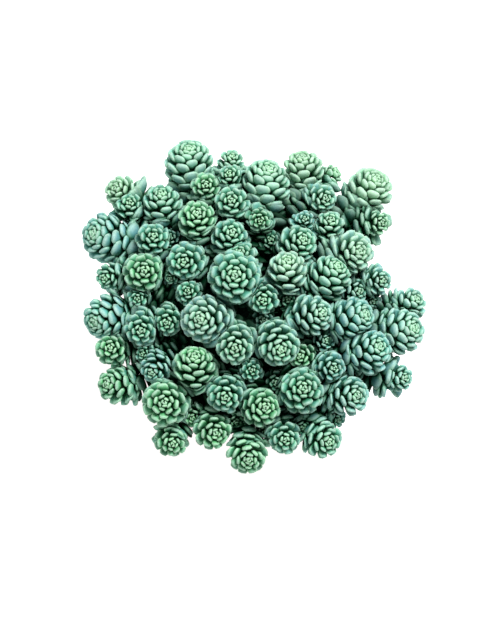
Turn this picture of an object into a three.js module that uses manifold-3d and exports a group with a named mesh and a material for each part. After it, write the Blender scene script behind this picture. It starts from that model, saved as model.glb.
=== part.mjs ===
// A potted thick-leaved stonecrop: a dome of plump blue-green heads on leafy stems, in a plain clay pot.
// Millimetres, +Z up. The origin is the centre of the pot's flat underside.
import * as THREE from "three";
import { mergeVertices } from "three/addons/utils/BufferGeometryUtils.js";
import Module from "manifold-3d";

const wasm = await Module();
wasm.setup();

// Pot
const POT_HEIGHT = 74;
const RIM_RADIUS = 41;
const RIM_BAND = 17;
const RIM_STEP = 2.6;
const BASE_RADIUS = 29;
const EDGE_ROUND = 1.2;
const WALL = 4;
const POT_FLOOR = 6;
const POT_SIDES = 26;
const DRAIN_RADIUS = 3.5;
const DRAIN_DISTANCE = 15;
const DRAIN_COUNT = 3;
const DRAIN_SIDES = 8;

// Soil
const SEAT_GAP = 0.3;
const SOIL_BELOW_RIM = 4;
const SOIL_TOP = POT_HEIGHT - SOIL_BELOW_RIM;

// Dome of heads: the height of a head's centre falls off with the square of its distance from the pot's axis
const DOME_TOP = 100;
const DOME_DROP = 23;
const DOME_RADIUS = 68;
const EYE_HEIGHT = 92;
const EYE_TILT = 10;

// Shoots
const STEM_RADIUS = 1.1;
const STEM_STEPS = [0.7, 1];
const FORK_STEPS = [1];
const STEM_BURIED = 6;
const FOOT_SHARE = 0.48;
const FOOT_LIMIT = 31;
const STEM_ARCH = 10;
const ARCH_OUTWARD = 0.2;
const STEM_START = 0.25;
const HOLE_SIDES = 4;
const HOLE_RADIUS = (STEM_RADIUS + SEAT_GAP) / Math.cos(Math.PI / HOLE_SIDES);
const HEAD_GAP = 0.3;
const GOLDEN_TURN = 137.5;
const SPIN_START = new THREE.Vector3(0, 1, 0.2);
const HEAD_STRETCH = 1.3;
const CENTRE_SHIFT = 0.12;
const FORK_ALONG = 0.6;

// A head is rows of points round its centre. Each inner row carries a ring of leaves that stand out past the core.
// Latitudes are degrees above the head's waist. Reaches are shares of the head's radius.
const CORE = 0.36;
const LEAF_SHOULDER = 0.88;
const LEAF_WIDTH = 0.88;
const LEAF_KEEL = 10;
const BUD_ROW = 0.58;
const BUD_TOP = 0.72;
const LARGE = { above: 9, leaves: 7, rows: [-68, -44, -16, 12, 40, 67], reach: [1.12, 1.08, 1.04, 0.86] };
const FULL = { above: 7.7, leaves: 6, rows: [-68, -44, -16, 12, 40, 67], reach: [1.12, 1.08, 1.04, 0.86] };
const MEDIUM = { above: 5.7, leaves: 6, rows: [-58, -22, 10, 40, 67], reach: [1.1, 1.06, 0.86] };
const SMALL = { above: 0, leaves: 5, rows: [-52, -6, 34, 66], reach: [1.1, 0.88] };
const KINDS = [LARGE, FULL, MEDIUM, SMALL];

// Colours, leaves by tint
const GREEN = 0x8fb893;
const MINT = 0x8ebba3;
const BLUE = 0x86aba6;
const CLAY = 0xb5673f;
const EARTH = 0x3a2c22;
const LEAF_ROUGHNESS = 0.7;
const CLAY_ROUGHNESS = 0.85;
const EARTH_ROUGHNESS = 1;
const CUT_PAST = 1;

// Heads, as seen by an eye EYE_TILT degrees in front of straight above:
// number, right, up, radius, lean away from the eye, heading of the lean (0 right, 90 up), lift off the dome, tint
const HEADS = [
  [1, -22.4, 58.0, 9.2, 50, 95, 0, MINT],
  [2, -49.6, 47.6, 6.8, 35, 145, 4, GREEN],
  [3, -46.8, 41.2, 6.0, 25, 90, 4, MINT],
  [4, -34.0, 42.0, 8.0, 40, 90, 1, MINT],
  [5, -54.4, 29.2, 10.0, 45, 165, 0, BLUE],
  [6, -37.6, 28.4, 6.8, 15, 70, 1, MINT],
  [7, -19.2, 36.0, 8.0, 22, 95, 1, GREEN],
  [8, -6.4, 59.2, 5.6, 40, 75, -2, MINT],
  [9, -6.0, 53.2, 5.6, 25, 110, 1, MINT],
  [10, -16.0, 49.6, 6.0, 12, 90, 2, GREEN],
  [11, 7.6, 49.2, 10.0, 50, 75, -1, MINT],
  [12, -5.6, 42.8, 7.2, 12, 100, 2, MINT],
  [13, 5.6, 36.8, 4.4, 10, 270, 3, GREEN],
  [14, -6.8, 29.2, 7.6, 20, 60, -1, MINT],
  [15, 23.2, 55.6, 8.4, 50, 92, 0, GREEN],
  [16, 33.6, 54.4, 4.8, 70, 30, -3, GREEN],
  [17, 30.0, 45.2, 6.0, 20, 0, 3, MINT],
  [18, 23.6, 35.6, 4.4, 20, 90, 0, BLUE],
  [19, 33.2, 33.6, 6.4, 30, 75, 0, MINT],
  [20, 20.4, 26.4, 8.0, 25, 40, -2, MINT],
  [21, 49.2, 48.0, 9.2, 45, 55, 4, GREEN],
  [22, 52.4, 35.6, 5.2, 30, 0, 3, GREEN],
  [23, 41.6, 23.2, 8.8, 28, 10, 2, MINT],
  [24, 52.4, 12.0, 5.6, 28, 5, 0, BLUE],
  [25, -54.4, 14.0, 5.6, 28, 200, 0, MINT],
  [26, -40.8, 15.2, 8.4, 6, 90, 1, GREEN],
  [27, -24.0, 19.6, 8.0, 6, 180, 0, MINT],
  [28, -29.6, 14.0, 3.2, 25, 230, -2, MINT],
  [29, -43.2, 5.6, 4.4, 10, 250, -1, MINT],
  [30, -22.8, 7.2, 5.2, 10, 120, -2, MINT],
  [31, -54.4, -2.4, 9.6, 45, 200, 0, BLUE],
  [32, -42.0, -6.8, 6.8, 8, 270, 2, MINT],
  [33, -31.2, -3.6, 6.0, 12, 250, -2, MINT],
  [34, -15.6, -3.2, 10.0, 15, 180, 1, BLUE],
  [35, -53.2, -15.2, 6.8, 10, 150, 2, GREEN],
  [36, -40.4, -17.2, 4.0, 15, 180, -4, MINT],
  [37, -36.0, -22.4, 6.0, 30, 235, 0, BLUE],
  [38, -20.4, -22.8, 8.4, 35, 90, 2, GREEN],
  [39, -4.4, 13.2, 10.8, 6, 90, 3, MINT],
  [40, -2.4, 20.4, 7.2, 25, 90, -2, MINT],
  [41, 6.8, 5.6, 6.4, 12, 265, 0, MINT],
  [42, 16.4, 15.2, 8.0, 38, 88, 2, MINT],
  [43, 32.8, 13.2, 8.8, 45, 52, 0, MINT],
  [44, 26.0, -2.0, 8.0, 35, 15, 1, BLUE],
  [45, 41.6, -3.6, 8.8, 48, 20, 0, BLUE],
  [46, 65.2, 2.0, 6.8, 45, 40, -2, BLUE],
  [47, 60.8, -8.4, 9.6, 45, 15, 0, BLUE],
  [48, 48.0, -16.4, 9.2, 38, 25, 2, BLUE],
  [49, 60.8, -26.8, 5.6, 35, 0, 0, BLUE],
  [50, 33.2, -22.4, 6.4, 18, 350, 0, BLUE],
  [51, -4.4, -13.2, 8.0, 12, 270, 2, MINT],
  [52, 12.4, -12.8, 8.8, 20, 300, 2, MINT],
  [53, 22.8, -18.0, 5.6, 15, 180, -5, GREEN],
  [54, 2.0, -23.6, 4.4, 5, 0, -1, MINT],
  [55, -50.8, -29.6, 7.6, 40, 175, 0, GREEN],
  [56, -31.6, -36.4, 9.6, 5, 180, 3, GREEN],
  [57, -30.0, -51.6, 6.4, 15, 300, 0, GREEN],
  [58, -8.0, -32.8, 7.6, 12, 260, 1, MINT],
  [59, -13.6, -47.2, 7.6, 18, 320, 0, GREEN],
  [60, 5.6, -38.4, 8.0, 15, 10, 0, GREEN],
  [61, 0.4, -56.0, 7.6, 25, 280, 1, GREEN],
  [62, 15.2, -50.0, 6.8, 12, 290, 0, MINT],
  [63, 22.0, -32.0, 9.2, 10, 60, 1, MINT],
  [64, 40.0, -33.6, 8.4, 30, 0, 1, BLUE],
  [65, 30.0, -50.8, 7.6, 28, 335, 0, MINT],
  [66, 6.4, -2.8, 5.2, 10, 300, -9, BLUE],
  [67, 9.2, 27.6, 5.0, 15, 60, -9, MINT],
  [68, 15.6, 4.4, 4.8, 15, 20, -8, MINT],
  [69, 30.4, -12.4, 4.8, 25, 20, -7, BLUE],
  [70, 36.8, -43.6, 5.0, 30, 320, -7, BLUE],
  [71, -20.4, -41.6, 4.8, 20, 240, -7, GREEN],
  [72, -29.6, 28.4, 4.8, 20, 120, -7, BLUE],
  [73, 42.4, 6.8, 5.2, 30, 350, -7, BLUE],
  [74, 11.6, -27.6, 4.6, 15, 290, -8, MINT],
  [75, 22.4, -45.2, 4.6, 25, 290, -7, MINT],
];

// Heads that fork from another head's stem: offshoot, then parent
const FORKS = new Map([
  [3, 2], [8, 9], [16, 15], [18, 20], [22, 21], [28, 27], [36, 37], [40, 39], [46, 47], [66, 41], [67, 13],
  [68, 44], [69, 48], [70, 65], [71, 59], [72, 6], [73, 24], [74, 60], [75, 65],
]);

const degrees = (angle) => (angle * Math.PI) / 180;

// Directions of the eye that the heads were placed by
const EYE_UP = new THREE.Vector3(0, Math.cos(degrees(EYE_TILT)), Math.sin(degrees(EYE_TILT)));
const EYE_TOWARD = new THREE.Vector3(0, -Math.sin(degrees(EYE_TILT)), Math.cos(degrees(EYE_TILT)));

// Centre of a head: on the dome, where the eye sees it
function headCentre(right, up, lift) {
  const centre = new THREE.Vector3(right, up, DOME_TOP);
  for (let pass = 0; pass < 4; pass++) {
    const outward = Math.hypot(centre.x, centre.y) / DOME_RADIUS;
    centre.z = DOME_TOP - DOME_DROP * outward * outward + lift;
    centre.y = (up - (centre.z - EYE_HEIGHT) * EYE_UP.z) / EYE_UP.y;
  }
  return centre;
}

// Growing direction of a head
function headAxis(lean, heading) {
  const aside = Math.sin(degrees(lean));
  return new THREE.Vector3(aside * Math.cos(degrees(heading)), 0, 0)
    .addScaledVector(EYE_UP, aside * Math.sin(degrees(heading)))
    .addScaledVector(EYE_TOWARD, Math.cos(degrees(lean)))
    .normalize();
}

// The eye sees a leaning head's lower leaves too, so the middle of what it sees lies a little below the head's centre
function readHead([number, right, up, radius, lean, heading, lift, tint]) {
  const axis = headAxis(lean, heading);
  const centre = headCentre(right, up, lift).addScaledVector(axis, CENTRE_SHIFT * radius);
  const kind = KINDS.find(({ above }) => radius > above);
  return { number, radius, tint, kind, centre, axis, spin: degrees(GOLDEN_TURN * number), planes: [] };
}

const heads = HEADS.map(readHead);
const headNumbered = new Map(heads.map((head) => [head.number, head]));

// Neighbouring heads share their room: each keeps to its own side of a plane across the line that joins them
function shareRoom(first, second) {
  const across = second.centre.clone().sub(first.centre);
  const distance = across.length();
  if (distance > (first.radius + second.radius) * HEAD_STRETCH) return;
  const normal = across.divideScalar(distance);
  const offset = (first.radius ** 2 - second.radius ** 2) / (2 * distance);
  first.planes.push({ normal, reach: distance / 2 + offset - HEAD_GAP / 2 });
  second.planes.push({ normal: normal.clone().negate(), reach: distance / 2 - offset - HEAD_GAP / 2 });
}
heads.forEach((first, i) => heads.slice(i + 1).forEach((second) => shareRoom(first, second)));

// Two directions square to an axis, the first as near to a given one as it can be
function squareTo(axis, near) {
  const first = near.clone().addScaledVector(axis, -near.dot(axis)).normalize();
  return [first, new THREE.Vector3().crossVectors(axis, first)];
}

// Where the foot of a head's stem enters the soil
function stemFoot(head) {
  const outward = Math.hypot(head.centre.x, head.centre.y);
  const share = Math.min(FOOT_SHARE, FOOT_LIMIT / outward);
  return new THREE.Vector3(head.centre.x * share, head.centre.y * share, SOIL_TOP);
}

// Underside of a head's core, where its stem begins
function stemTop(head) {
  return head.centre.clone().addScaledVector(head.axis, -CORE * head.radius * HEAD_STRETCH);
}

// A stem leaves its head against the growing direction and enters the soil upright
function stemCurve(head) {
  const top = stemTop(head);
  const foot = stemFoot(head);
  const below = top.clone().addScaledVector(head.axis, -STEM_START * top.distanceTo(foot));
  const outward = Math.hypot(head.centre.x, head.centre.y);
  const above = foot.clone().setZ(foot.z + STEM_ARCH + ARCH_OUTWARD * outward);
  return new THREE.CubicBezierCurve3(top, below, above, foot);
}

// An offshoot's stem ends inside its parent's
function forkCurve(head, parent) {
  const top = stemTop(head);
  const end = stemTop(parent).lerp(stemCurve(parent).getPoint(STEM_STEPS[0]), FORK_ALONG);
  const below = top.clone().addScaledVector(head.axis, -STEM_START * top.distanceTo(end));
  return new THREE.QuadraticBezierCurve3(top, below, end);
}

// Point of a head from its latitude, its turn round the axis and its reach, pressed back to the head's own room
function headPoint(head, latitude, turn, reach) {
  const [first, second] = squareTo(head.axis, SPIN_START);
  const waist = Math.cos(degrees(latitude)) * reach * head.radius;
  const arm = new THREE.Vector3()
    .addScaledVector(first, waist * Math.cos(turn + head.spin))
    .addScaledVector(second, waist * Math.sin(turn + head.spin))
    .addScaledVector(head.axis, Math.sin(degrees(latitude)) * reach * head.radius * HEAD_STRETCH);
  let share = 1;
  for (const { normal, reach: room } of head.planes) share = Math.min(share, room / Math.max(arm.dot(normal), room));
  return arm.multiplyScalar(share).add(head.centre);
}

// A skin under construction: points, and faces that run anticlockwise seen from outside
class Skin {
  points = [];
  faces = [];

  add(point) {
    return this.points.push(point) - 1;
  }

  geometry() {
    return new THREE.BufferGeometry().setFromPoints(this.points).setIndex(this.faces.flat());
  }
}

// Rows of points round the core. Every other row is turned by half a leaf
const phase = (row) => (row % 2) / 2;

function coreRows(skin, head) {
  const { leaves, rows } = head.kind;
  return rows.map((latitude, row) => {
    const reach = row === rows.length - 1 ? BUD_ROW : CORE;
    const turns = Array.from({ length: leaves }, (_, j) => ((j + phase(row)) * 2 * Math.PI) / leaves);
    return turns.map((turn) => skin.add(headPoint(head, latitude, turn, reach)));
  });
}

// The bud closes the top row, and a row of triangles closes the bottom one
function closeCore(skin, head, core) {
  const { leaves } = head.kind;
  const last = core.length - 1;
  const top = skin.add(headPoint(head, 90, 0, BUD_TOP));
  for (let j = 0; j < leaves; j++) {
    const next = (j + 1) % leaves;
    skin.faces.push([core[0][j], core[0][next], core[1][j]]);
    skin.faces.push([core[last - 1][(j + 2 * phase(last)) % leaves], core[last][next], core[last][j]]);
    skin.faces.push([core[last][j], core[last][next], top]);
  }
}

// One leaf stands on the four core points round its place: its two shoulders and its keeled tip are raised from them
function raiseLeaf(skin, head, core, row, j) {
  const { leaves, rows, reach } = head.kind;
  const pitch = (2 * Math.PI) / leaves;
  const turn = (j + phase(row + 1)) * pitch;
  const half = (pitch / 2) * LEAF_WIDTH;
  const length = reach[row - 1];
  const low = core[row][(j - 2 * phase(row) + leaves) % leaves];
  const high = core[row][(j - 2 * phase(row) + 1 + leaves) % leaves];
  const below = core[row - 1][j];
  const above = core[row + 1][j];
  const left = skin.add(headPoint(head, rows[row], turn - half, length * LEAF_SHOULDER));
  const right = skin.add(headPoint(head, rows[row], turn + half, length * LEAF_SHOULDER));
  const tip = skin.add(headPoint(head, rows[row] + LEAF_KEEL, turn, length));
  skin.faces.push([below, high, right], [below, right, left], [below, left, low]);
  skin.faces.push([low, left, tip], [low, tip, above], [high, above, tip], [high, tip, right]);
  skin.faces.push([left, right, tip]);
}

// The stem runs on from the bottom row, through a ring of points at each place, to a flat end
function runStem(skin, head, core, places) {
  const { leaves } = head.kind;
  let upper = core[0];
  let [near] = squareTo(head.axis, SPIN_START);
  for (const { place, upward } of places) {
    const [first, second] = squareTo(upward, near);
    near = first;
    const lower = upper.map((_, j) => {
      const turn = (j * 2 * Math.PI) / leaves + head.spin;
      const point = place.clone().addScaledVector(first, STEM_RADIUS * Math.cos(turn));
      return skin.add(point.addScaledVector(second, STEM_RADIUS * Math.sin(turn)));
    });
    for (let j = 0; j < leaves; j++) {
      const next = (j + 1) % leaves;
      skin.faces.push([lower[j], lower[next], upper[next]], [lower[j], upper[next], upper[j]]);
    }
    upper = lower;
  }
  for (let j = 1; j < leaves - 1; j++) skin.faces.push([upper[0], upper[j + 1], upper[j]]);
}

// One shoot: its head, its rings of leaves and its stem, as one closed skin
function shootGeometry(head, places) {
  const skin = new Skin();
  const core = coreRows(skin, head);
  closeCore(skin, head, core);
  for (let row = 1; row < core.length - 1; row++) {
    for (let j = 0; j < head.kind.leaves; j++) raiseLeaf(skin, head, core, row, j);
  }
  runStem(skin, head, core, places);
  return skin.geometry();
}

const placesAlong = (curve, steps) =>
  steps.map((t) => ({ place: curve.getPoint(t), upward: curve.getTangent(t).negate() }));

// A main stem ends upright in its hole, an offshoot's inside its parent's stem
function mainPlaces(head) {
  const places = placesAlong(stemCurve(head), STEM_STEPS);
  const { place, upward } = places[places.length - 1];
  places.push({ place: place.clone().setZ(SOIL_TOP - STEM_BURIED), upward });
  return places;
}

const forkPlaces = (head, parent) => placesAlong(forkCurve(head, parent), FORK_STEPS);

// Closed geometry to solid and back
function solidOf(geometry) {
  const bare = geometry.clone();
  bare.deleteAttribute("normal");
  bare.deleteAttribute("uv");
  const merged = mergeVertices(bare);
  return new wasm.Manifold(
    new wasm.Mesh({
      numProp: 3,
      vertProperties: new Float32Array(merged.attributes.position.array),
      triVerts: new Uint32Array(merged.index.array),
    }),
  );
}

function geometryOf(solid) {
  const mesh = solid.getMesh();
  const geometry = new THREE.BufferGeometry();
  geometry.setAttribute("position", new THREE.BufferAttribute(new Float32Array(mesh.vertProperties), 3));
  geometry.setIndex(new THREE.BufferAttribute(new Uint32Array(mesh.triVerts), 1));
  return geometry;
}

function uprightPrism(radius, sides, low, high, x, y) {
  const prism = new THREE.CylinderGeometry(radius, radius, high - low, sides);
  prism.rotateX(Math.PI / 2);
  prism.translate(x, y, (low + high) / 2);
  return prism;
}

// The pot's body tapers from under its rim band to its base, and the hollow tapers with it
const BODY_RADIUS = RIM_RADIUS - RIM_STEP;
const BAND_FOOT = POT_HEIGHT - RIM_BAND;
function innerRadius(z) {
  return BASE_RADIUS - WALL + ((BODY_RADIUS - BASE_RADIUS) * z) / POT_HEIGHT;
}

function lathe(profile) {
  const geometry = new THREE.LatheGeometry(profile.map(([r, z]) => new THREE.Vector2(r, z)), POT_SIDES);
  geometry.rotateX(Math.PI / 2);
  return geometry;
}

function potGeometry() {
  const bandTaper = (RIM_BAND / POT_HEIGHT) * (BODY_RADIUS - BASE_RADIUS);
  const shell = lathe([
    [0, 0],
    [BASE_RADIUS - EDGE_ROUND, 0],
    [BASE_RADIUS, EDGE_ROUND],
    [BODY_RADIUS - bandTaper, BAND_FOOT],
    [RIM_RADIUS - bandTaper / 2, BAND_FOOT + EDGE_ROUND],
    [RIM_RADIUS, POT_HEIGHT - EDGE_ROUND],
    [RIM_RADIUS - EDGE_ROUND, POT_HEIGHT],
    [innerRadius(POT_HEIGHT) + EDGE_ROUND, POT_HEIGHT],
    [innerRadius(POT_HEIGHT), POT_HEIGHT - EDGE_ROUND],
    [innerRadius(POT_FLOOR), POT_FLOOR],
    [0, POT_FLOOR],
  ]);
  let solid = solidOf(shell);
  for (let i = 0; i < DRAIN_COUNT; i++) {
    const turn = (2 * Math.PI * i) / DRAIN_COUNT;
    const x = DRAIN_DISTANCE * Math.cos(turn);
    const y = DRAIN_DISTANCE * Math.sin(turn);
    const hole = uprightPrism(DRAIN_RADIUS, DRAIN_SIDES, -CUT_PAST, POT_FLOOR + CUT_PAST, x, y);
    solid = solid.subtract(solidOf(hole));
  }
  return geometryOf(solid);
}

function soilGeometry() {
  const low = POT_FLOOR + SEAT_GAP;
  let solid = solidOf(
    lathe([
      [0, low],
      [innerRadius(low) - SEAT_GAP, low],
      [innerRadius(SOIL_TOP) - SEAT_GAP, SOIL_TOP],
      [0, SOIL_TOP],
    ]),
  );
  for (const head of heads) {
    if (FORKS.has(head.number)) continue;
    const foot = stemFoot(head);
    const bottom = SOIL_TOP - STEM_BURIED - SEAT_GAP;
    const hole = uprightPrism(HOLE_RADIUS, HOLE_SIDES, bottom, SOIL_TOP + CUT_PAST, foot.x, foot.y);
    solid = solid.subtract(solidOf(hole));
  }
  return geometryOf(solid);
}

function material(color, roughness) {
  return new THREE.MeshStandardMaterial({ color, roughness, metalness: 0 });
}

function piece(name, geometry, finish) {
  const mesh = new THREE.Mesh(geometry, finish);
  mesh.name = name;
  return mesh;
}

const twoDigits = (number) => String(number).padStart(2, "0");

const group = new THREE.Group();
group.add(piece("pot", potGeometry(), material(CLAY, CLAY_ROUGHNESS)));
group.add(piece("potting_soil", soilGeometry(), material(EARTH, EARTH_ROUGHNESS)));

for (const head of heads) {
  if (FORKS.has(head.number)) continue;
  let geometry = shootGeometry(head, mainPlaces(head));
  for (const [offshoot, parent] of FORKS) {
    if (parent !== head.number) continue;
    const fork = headNumbered.get(offshoot);
    const branch = shootGeometry(fork, forkPlaces(fork, head));
    geometry = geometryOf(solidOf(geometry).add(solidOf(branch)));
  }
  group.add(piece("leafy_shoot_" + twoDigits(head.number), geometry, material(head.tint, LEAF_ROUGHNESS)));
}

export default group;
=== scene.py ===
import math
import random

import bmesh
import bpy
from bpy.props import FloatProperty, FloatVectorProperty, IntProperty, PointerProperty
from bpy.types import Operator, Panel, PropertyGroup
from mathutils import Matrix, Vector, noise
from mathutils.kdtree import KDTree


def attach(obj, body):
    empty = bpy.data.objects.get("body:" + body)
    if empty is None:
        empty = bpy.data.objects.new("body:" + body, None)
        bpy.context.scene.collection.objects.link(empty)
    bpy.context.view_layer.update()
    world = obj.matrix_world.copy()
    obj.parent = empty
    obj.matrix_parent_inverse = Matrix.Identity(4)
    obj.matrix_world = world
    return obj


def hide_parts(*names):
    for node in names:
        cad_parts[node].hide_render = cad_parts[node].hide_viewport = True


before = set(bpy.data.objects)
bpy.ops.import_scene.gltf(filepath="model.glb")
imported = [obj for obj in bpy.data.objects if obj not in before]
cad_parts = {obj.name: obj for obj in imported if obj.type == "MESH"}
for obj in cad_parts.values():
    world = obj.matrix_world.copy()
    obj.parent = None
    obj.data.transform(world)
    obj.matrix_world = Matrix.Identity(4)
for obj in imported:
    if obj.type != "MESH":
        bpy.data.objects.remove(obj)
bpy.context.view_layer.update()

bl_info = {
    "name": "Potted Stonecrop",
    "version": (1, 0, 0),
    "blender": (4, 5, 0),
    "location": "View3D > Sidebar > Stonecrop",
    "description": "Dresses a potted stonecrop: plump leaf heads on leafy stems, potting soil and a clay pot",
    "category": "Object",
}

# Sizes below are millimetres, and a mesh is scaled to metres when it is finished
MM = 0.001
SEED = 41

# Pot, soil and dome, as in the solid model
POT_HEIGHT = 74
RIM_RADIUS = 41
RIM_BAND = 17
RIM_STEP = 2.6
BASE_RADIUS = 29
WALL = 4
POT_FLOOR = 6
DRAIN_RADIUS = 3.5
DRAIN_DISTANCE = 15
DRAIN_COUNT = 3
BODY_RADIUS = RIM_RADIUS - RIM_STEP
BAND_TAPER = RIM_BAND / POT_HEIGHT * (BODY_RADIUS - BASE_RADIUS)
SOIL_TOP = POT_HEIGHT - 4
SEAT_GAP = 0.3
DOME_TOP = 100
DOME_DROP = 23
DOME_RADIUS = 68
EYE_HEIGHT = 92
EYE_TILT = math.radians(10)

# Shoots, as in the solid model
STEM_RADIUS = 1.1
STEM_BURIED = 6
FOOT_SHARE = 0.48
FOOT_LIMIT = 31
STEM_ARCH = 10
ARCH_OUTWARD = 0.2
STEM_START = 0.25
FORK_REACH = 0.7
FORK_ALONG = 0.6
HEAD_GAP = 0.3
HEAD_STRETCH = 1.3
CENTRE_SHIFT = 0.12
CORE = 0.36
GOLDEN_TURN = math.radians(137.5)

# Stem leaves reach in under the neighbouring heads: slope of the plane between them, and how far past it
UNDER_SLOPE = 0.55
UNDER_REACH = 3

# Heads, as the eye of the photograph sees them: number, right, up, radius, lean away from the eye,
# heading of the lean (0 right, 90 up), lift off the dome, tint. The last four are tiny offshoots that the
# solid model leaves out
HEADS = [
    (1, -22.4, 58.0, 10.0, 50, 95, 0, "leaf_mint"),
    (2, -49.6, 47.6, 6.8, 35, 145, 4, "leaf_green"),
    (3, -46.8, 41.2, 6.0, 25, 90, 4, "leaf_mint"),
    (4, -34.0, 42.0, 8.0, 40, 90, 1, "leaf_mint"),
    (5, -54.4, 29.2, 10.4, 45, 165, 0, "leaf_blue"),
    (6, -37.6, 28.4, 6.8, 15, 70, 1, "leaf_mint"),
    (7, -19.2, 36.0, 8.0, 22, 95, 1, "leaf_green"),
    (8, -6.4, 59.2, 5.6, 40, 75, -2, "leaf_mint"),
    (9, -6.0, 53.2, 5.6, 25, 110, 1, "leaf_mint"),
    (10, -16.0, 49.6, 6.0, 12, 90, 2, "leaf_green"),
    (11, 7.2, 49.6, 10.4, 50, 75, -1, "leaf_mint"),
    (12, -5.6, 42.8, 7.2, 12, 100, 2, "leaf_mint"),
    (13, 5.6, 36.8, 4.4, 10, 270, 3, "leaf_green"),
    (14, -6.8, 29.2, 7.6, 20, 60, -1, "leaf_mint"),
    (15, 23.2, 55.6, 8.4, 50, 92, 0, "leaf_green"),
    (16, 33.6, 54.4, 4.8, 70, 30, -3, "leaf_green"),
    (17, 30.0, 45.2, 6.0, 20, 0, 3, "leaf_mint"),
    (18, 23.6, 35.6, 4.4, 20, 90, 0, "leaf_blue"),
    (19, 33.2, 33.6, 6.4, 30, 75, 0, "leaf_mint"),
    (20, 20.4, 26.4, 8.0, 25, 40, -2, "leaf_mint"),
    (21, 49.2, 48.0, 9.2, 45, 55, 4, "leaf_green"),
    (22, 52.4, 35.6, 5.2, 30, 0, 3, "leaf_green"),
    (23, 41.6, 23.2, 8.8, 28, 10, 2, "leaf_mint"),
    (24, 52.4, 12.0, 5.6, 28, 5, 0, "leaf_blue"),
    (25, -54.4, 14.0, 5.6, 28, 200, 0, "leaf_mint"),
    (26, -40.8, 15.2, 8.4, 6, 90, 1, "leaf_green"),
    (27, -24.0, 19.6, 8.0, 6, 180, 0, "leaf_mint"),
    (28, -29.6, 14.0, 3.2, 25, 230, -2, "leaf_mint"),
    (29, -43.2, 5.6, 4.4, 10, 250, -1, "leaf_mint"),
    (30, -22.8, 7.2, 5.2, 10, 120, -2, "leaf_mint"),
    (31, -54.4, -2.4, 9.6, 45, 200, 0, "leaf_blue"),
    (32, -42.0, -6.8, 6.8, 8, 270, 2, "leaf_mint"),
    (33, -31.2, -3.6, 6.0, 12, 250, -2, "leaf_mint"),
    (34, -15.6, -3.2, 10.0, 15, 180, 1, "leaf_blue"),
    (35, -53.2, -15.2, 6.8, 10, 150, 2, "leaf_green"),
    (36, -40.4, -17.2, 4.0, 15, 180, -4, "leaf_mint"),
    (37, -36.0, -22.4, 6.0, 30, 235, 0, "leaf_blue"),
    (38, -20.4, -22.8, 8.4, 35, 90, 2, "leaf_green"),
    (39, -4.4, 13.2, 10.8, 6, 90, 3, "leaf_mint"),
    (40, -2.4, 20.4, 7.2, 25, 90, -2, "leaf_mint"),
    (41, 6.8, 5.6, 6.4, 12, 265, 0, "leaf_mint"),
    (42, 16.4, 15.2, 8.0, 38, 88, 2, "leaf_mint"),
    (43, 32.8, 13.2, 8.8, 45, 52, 0, "leaf_mint"),
    (44, 26.0, -2.0, 8.0, 35, 15, 1, "leaf_blue"),
    (45, 41.6, -3.6, 8.8, 48, 20, 0, "leaf_blue"),
    (46, 65.2, 2.0, 6.8, 45, 40, -2, "leaf_blue"),
    (47, 60.8, -8.4, 9.6, 45, 15, 0, "leaf_blue"),
    (48, 48.0, -16.4, 9.2, 38, 25, 2, "leaf_blue"),
    (49, 60.8, -26.8, 5.6, 35, 0, 0, "leaf_blue"),
    (50, 33.2, -22.4, 6.4, 18, 350, 0, "leaf_blue"),
    (51, -4.4, -13.2, 8.0, 12, 270, 2, "leaf_mint"),
    (52, 12.4, -12.8, 8.8, 20, 300, 2, "leaf_mint"),
    (53, 22.8, -18.0, 5.6, 15, 180, -5, "leaf_green"),
    (54, 2.0, -23.6, 4.4, 5, 0, -1, "leaf_mint"),
    (55, -50.8, -29.6, 7.6, 40, 175, 0, "leaf_green"),
    (56, -31.6, -36.4, 9.6, 5, 180, 3, "leaf_green"),
    (57, -30.0, -51.6, 6.4, 15, 300, 0, "leaf_green"),
    (58, -8.0, -32.8, 7.6, 12, 260, 1, "leaf_mint"),
    (59, -13.6, -47.2, 7.6, 18, 320, 0, "leaf_green"),
    (60, 5.6, -38.4, 8.0, 15, 10, 0, "leaf_green"),
    (61, 0.4, -56.0, 8.2, 25, 280, 1, "leaf_green"),
    (62, 15.2, -50.0, 6.8, 12, 290, 0, "leaf_mint"),
    (63, 22.0, -32.0, 9.2, 10, 60, 1, "leaf_mint"),
    (64, 40.0, -33.6, 8.4, 30, 0, 1, "leaf_blue"),
    (65, 30.0, -50.8, 7.6, 28, 335, 0, "leaf_mint"),
    (66, 6.4, -2.8, 5.2, 10, 300, -9, "leaf_blue"),
    (67, 9.2, 27.6, 5.0, 15, 60, -9, "leaf_mint"),
    (68, 15.6, 4.4, 4.8, 15, 20, -8, "leaf_mint"),
    (69, 30.4, -12.4, 4.8, 25, 20, -7, "leaf_blue"),
    (70, 35.2, -42.2, 4.6, 30, 320, -7, "leaf_blue"),
    (71, -20.4, -41.6, 4.8, 20, 240, -7, "leaf_green"),
    (72, -29.6, 28.4, 4.8, 20, 120, -7, "leaf_blue"),
    (73, 42.8, 8.4, 6.0, 30, 350, -7, "leaf_blue"),
    (74, 11.6, -27.6, 4.6, 15, 290, -8, "leaf_mint"),
    (75, 22.4, -45.2, 4.6, 25, 290, -7, "leaf_mint"),
    (76, -4.0, -43.6, 4.4, 15, 270, -9, "leaf_green"),
    (77, 50.0, 5.0, 4.4, 25, 320, -9, "leaf_blue"),
    (78, 7.6, -47.0, 4.2, 15, 280, -9, "leaf_green"),
    (79, 45.6, 15.6, 4.0, 20, 330, -8, "leaf_mint"),
]

# Heads that fork from another head's stem: offshoot, then parent
FORKS = {
    3: 2, 8: 9, 16: 15, 18: 20, 22: 21, 28: 27, 36: 37, 40: 39, 46: 47, 66: 41, 67: 13,
    68: 44, 69: 48, 70: 65, 71: 59, 72: 6, 73: 24, 74: 60, 75: 65, 76: 61, 77: 24, 78: 62, 79: 23,
}

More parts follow.
